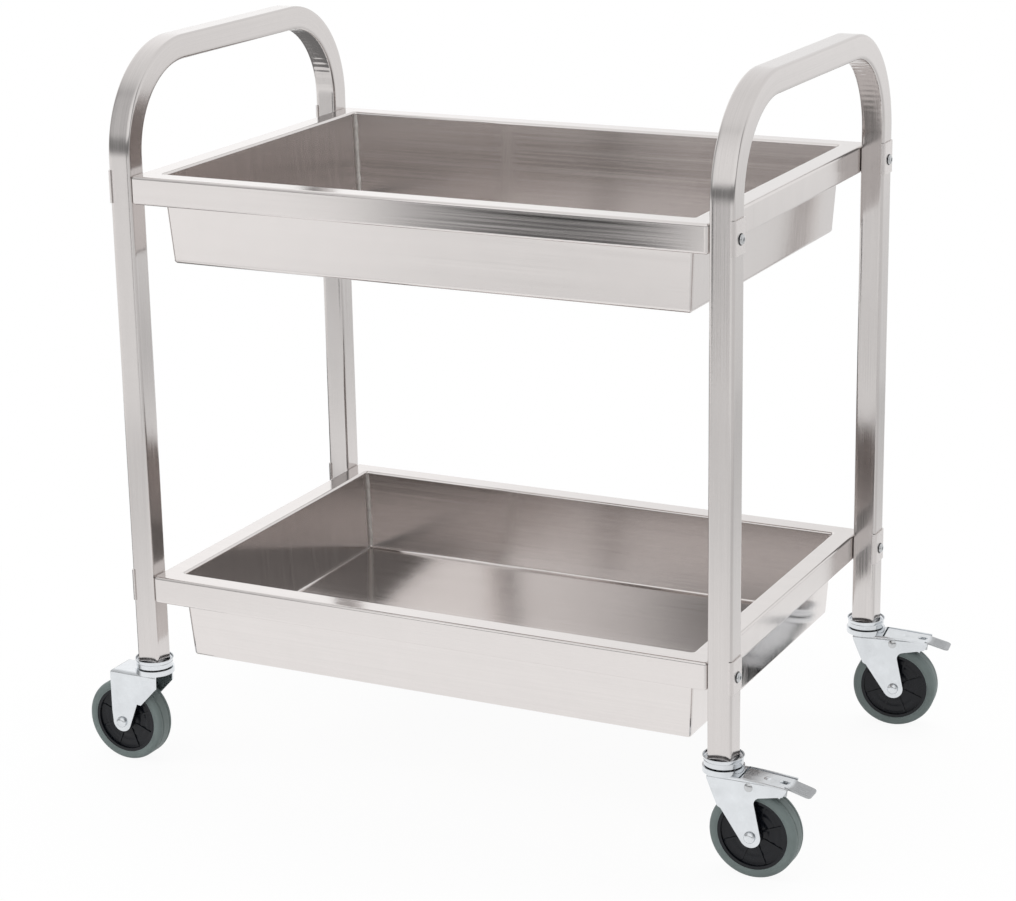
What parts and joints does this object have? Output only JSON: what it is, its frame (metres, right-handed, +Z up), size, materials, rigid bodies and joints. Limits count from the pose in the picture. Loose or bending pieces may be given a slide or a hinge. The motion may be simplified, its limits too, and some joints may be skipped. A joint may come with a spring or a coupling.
{
  "type": "serving trolley",
  "caption": "Two-tier serving trolley with deep rectangular trays between bent square-tube end frames with raised handles, on swivel casters with brakes at one end.",
  "frame": {"origin": "on the floor, under the middle of the whole trolley with its casters parked as shown", "axes": "+X along the long side towards the end with the braked casters, +Y from front to back, +Z up"},
  "size_m": [0.9126, 0.5186, 0.852],
  "materials": {
    "stainless_tube": "brushed along the tube, satin",
    "stainless_sheet": "brushed along the long side, satin",
    "stainless_plate": "satin",
    "fastener_steel": "bright plated",
    "zinc_plated_steel": "bright zinc plating, slightly blue",
    "bearing_steel": "ground and polished",
    "black_plastic": "moulded, semi-matt",
    "grey_rubber": "solid grey rubber"
  },
  "bodies": {
    "frame": {"left_end_frame": "stainless_tube", "right_end_frame": "stainless_tube", "upper_tray": "stainless_sheet", "lower_tray": "stainless_sheet", "upper_saddle_plates": "stainless_plate", "lower_saddle_plates": "stainless_plate", "tray_bolts": "fastener_steel", "tray_washers": "fastener_steel", "tray_nuts": "fastener_steel", "front_left_leg_plug": "black_plastic", "front_left_kingpin": "zinc_plated_steel", "front_left_upper_race": "zinc_plated_steel", "front_right_leg_plug": "black_plastic", "front_right_kingpin": "zinc_plated_steel", "front_right_upper_race": "zinc_plated_steel", "rear_left_leg_plug": "black_plastic", "rear_left_kingpin": "zinc_plated_steel", "rear_left_upper_race": "zinc_plated_steel", "rear_right_leg_plug": "black_plastic", "rear_right_kingpin": "zinc_plated_steel", "rear_right_upper_race": "zinc_plated_steel"},
    "front_left_swivel": {"front_left_swivel_balls": "bearing_steel", "front_left_fork": "zinc_plated_steel", "front_left_axle_bolt": "fastener_steel", "front_left_axle_nut": "fastener_steel", "front_left_wheel_bush": "bearing_steel"},
    "front_left_wheel": {"front_left_wheel_hub": "black_plastic", "front_left_tyre": "grey_rubber"},
    "front_right_swivel": {"front_right_swivel_balls": "bearing_steel", "front_right_fork": "zinc_plated_steel", "front_right_axle_bolt": "fastener_steel", "front_right_axle_nut": "fastener_steel", "front_right_wheel_bush": "bearing_steel", "front_right_brake_rivet": "fastener_steel"},
    "front_right_wheel": {"front_right_wheel_hub": "black_plastic", "front_right_tyre": "grey_rubber"},
    "front_right_pedal": {"front_right_brake_pedal": "zinc_plated_steel", "front_right_brake_shoe": "zinc_plated_steel"},
    "rear_left_swivel": {"rear_left_swivel_balls": "bearing_steel", "rear_left_fork": "zinc_plated_steel", "rear_left_axle_bolt": "fastener_steel", "rear_left_axle_nut": "fastener_steel", "rear_left_wheel_bush": "bearing_steel"},
    "rear_left_wheel": {"rear_left_wheel_hub": "black_plastic", "rear_left_tyre": "grey_rubber"},
    "rear_right_swivel": {"rear_right_swivel_balls": "bearing_steel", "rear_right_fork": "zinc_plated_steel", "rear_right_axle_bolt": "fastener_steel", "rear_right_axle_nut": "fastener_steel", "rear_right_wheel_bush": "bearing_steel", "rear_right_brake_rivet": "fastener_steel"},
    "rear_right_wheel": {"rear_right_wheel_hub": "black_plastic", "rear_right_tyre": "grey_rubber"},
    "rear_right_pedal": {"rear_right_brake_pedal": "zinc_plated_steel", "rear_right_brake_shoe": "zinc_plated_steel"}
  },
  "joints": [
    {"name": "front_left_caster_swivel", "type": "hinge", "parent": "frame", "child": "front_left_swivel", "pos_m": [-0.3683, -0.23529, 0.12295], "axis": [0, 0, 1], "continuous": true},
    {"name": "front_left_wheel_roll", "type": "hinge", "parent": "front_left_swivel", "child": "front_left_wheel", "pos_m": [-0.4063, -0.23529, 0.05], "axis": [0, -1, 0], "continuous": true},
    {"name": "front_right_caster_swivel", "type": "hinge", "parent": "frame", "child": "front_right_swivel", "pos_m": [0.3537, -0.23529, 0.12295], "axis": [0, 0, 1], "continuous": true},
    {"name": "front_right_wheel_roll", "type": "hinge", "parent": "front_right_swivel", "child": "front_right_wheel", "pos_m": [0.3917, -0.23529, 0.05], "axis": [0, 1, 0], "continuous": true},
    {"name": "front_right_brake_press", "type": "hinge", "parent": "front_right_swivel", "child": "front_right_pedal", "pos_m": [0.3897, -0.23529, 0.107], "axis": [0, 1, 0], "range_deg": [0, 7]},
    {"name": "rear_left_caster_swivel", "type": "hinge", "parent": "frame", "child": "rear_left_swivel", "pos_m": [-0.3683, 0.22671, 0.12295], "axis": [0, 0, 1], "continuous": true},
    {"name": "rear_left_wheel_roll", "type": "hinge", "parent": "rear_left_swivel", "child": "rear_left_wheel", "pos_m": [-0.4063, 0.22671, 0.05], "axis": [0, -1, 0], "continuous": true},
    {"name": "rear_right_caster_swivel", "type": "hinge", "parent": "frame", "child": "rear_right_swivel", "pos_m": [0.3537, 0.22671, 0.12295], "axis": [0, 0, 1], "continuous": true},
    {"name": "rear_right_wheel_roll", "type": "hinge", "parent": "rear_right_swivel", "child": "rear_right_wheel", "pos_m": [0.39133, 0.232, 0.05], "axis": [-0.1392, 0.9903, 0], "continuous": true},
    {"name": "rear_right_brake_press", "type": "hinge", "parent": "rear_right_swivel", "child": "rear_right_pedal", "pos_m": [0.38935, 0.23172, 0.107], "axis": [-0.1392, 0.9903, 0], "range_deg": [0, 7]}
  ]
}
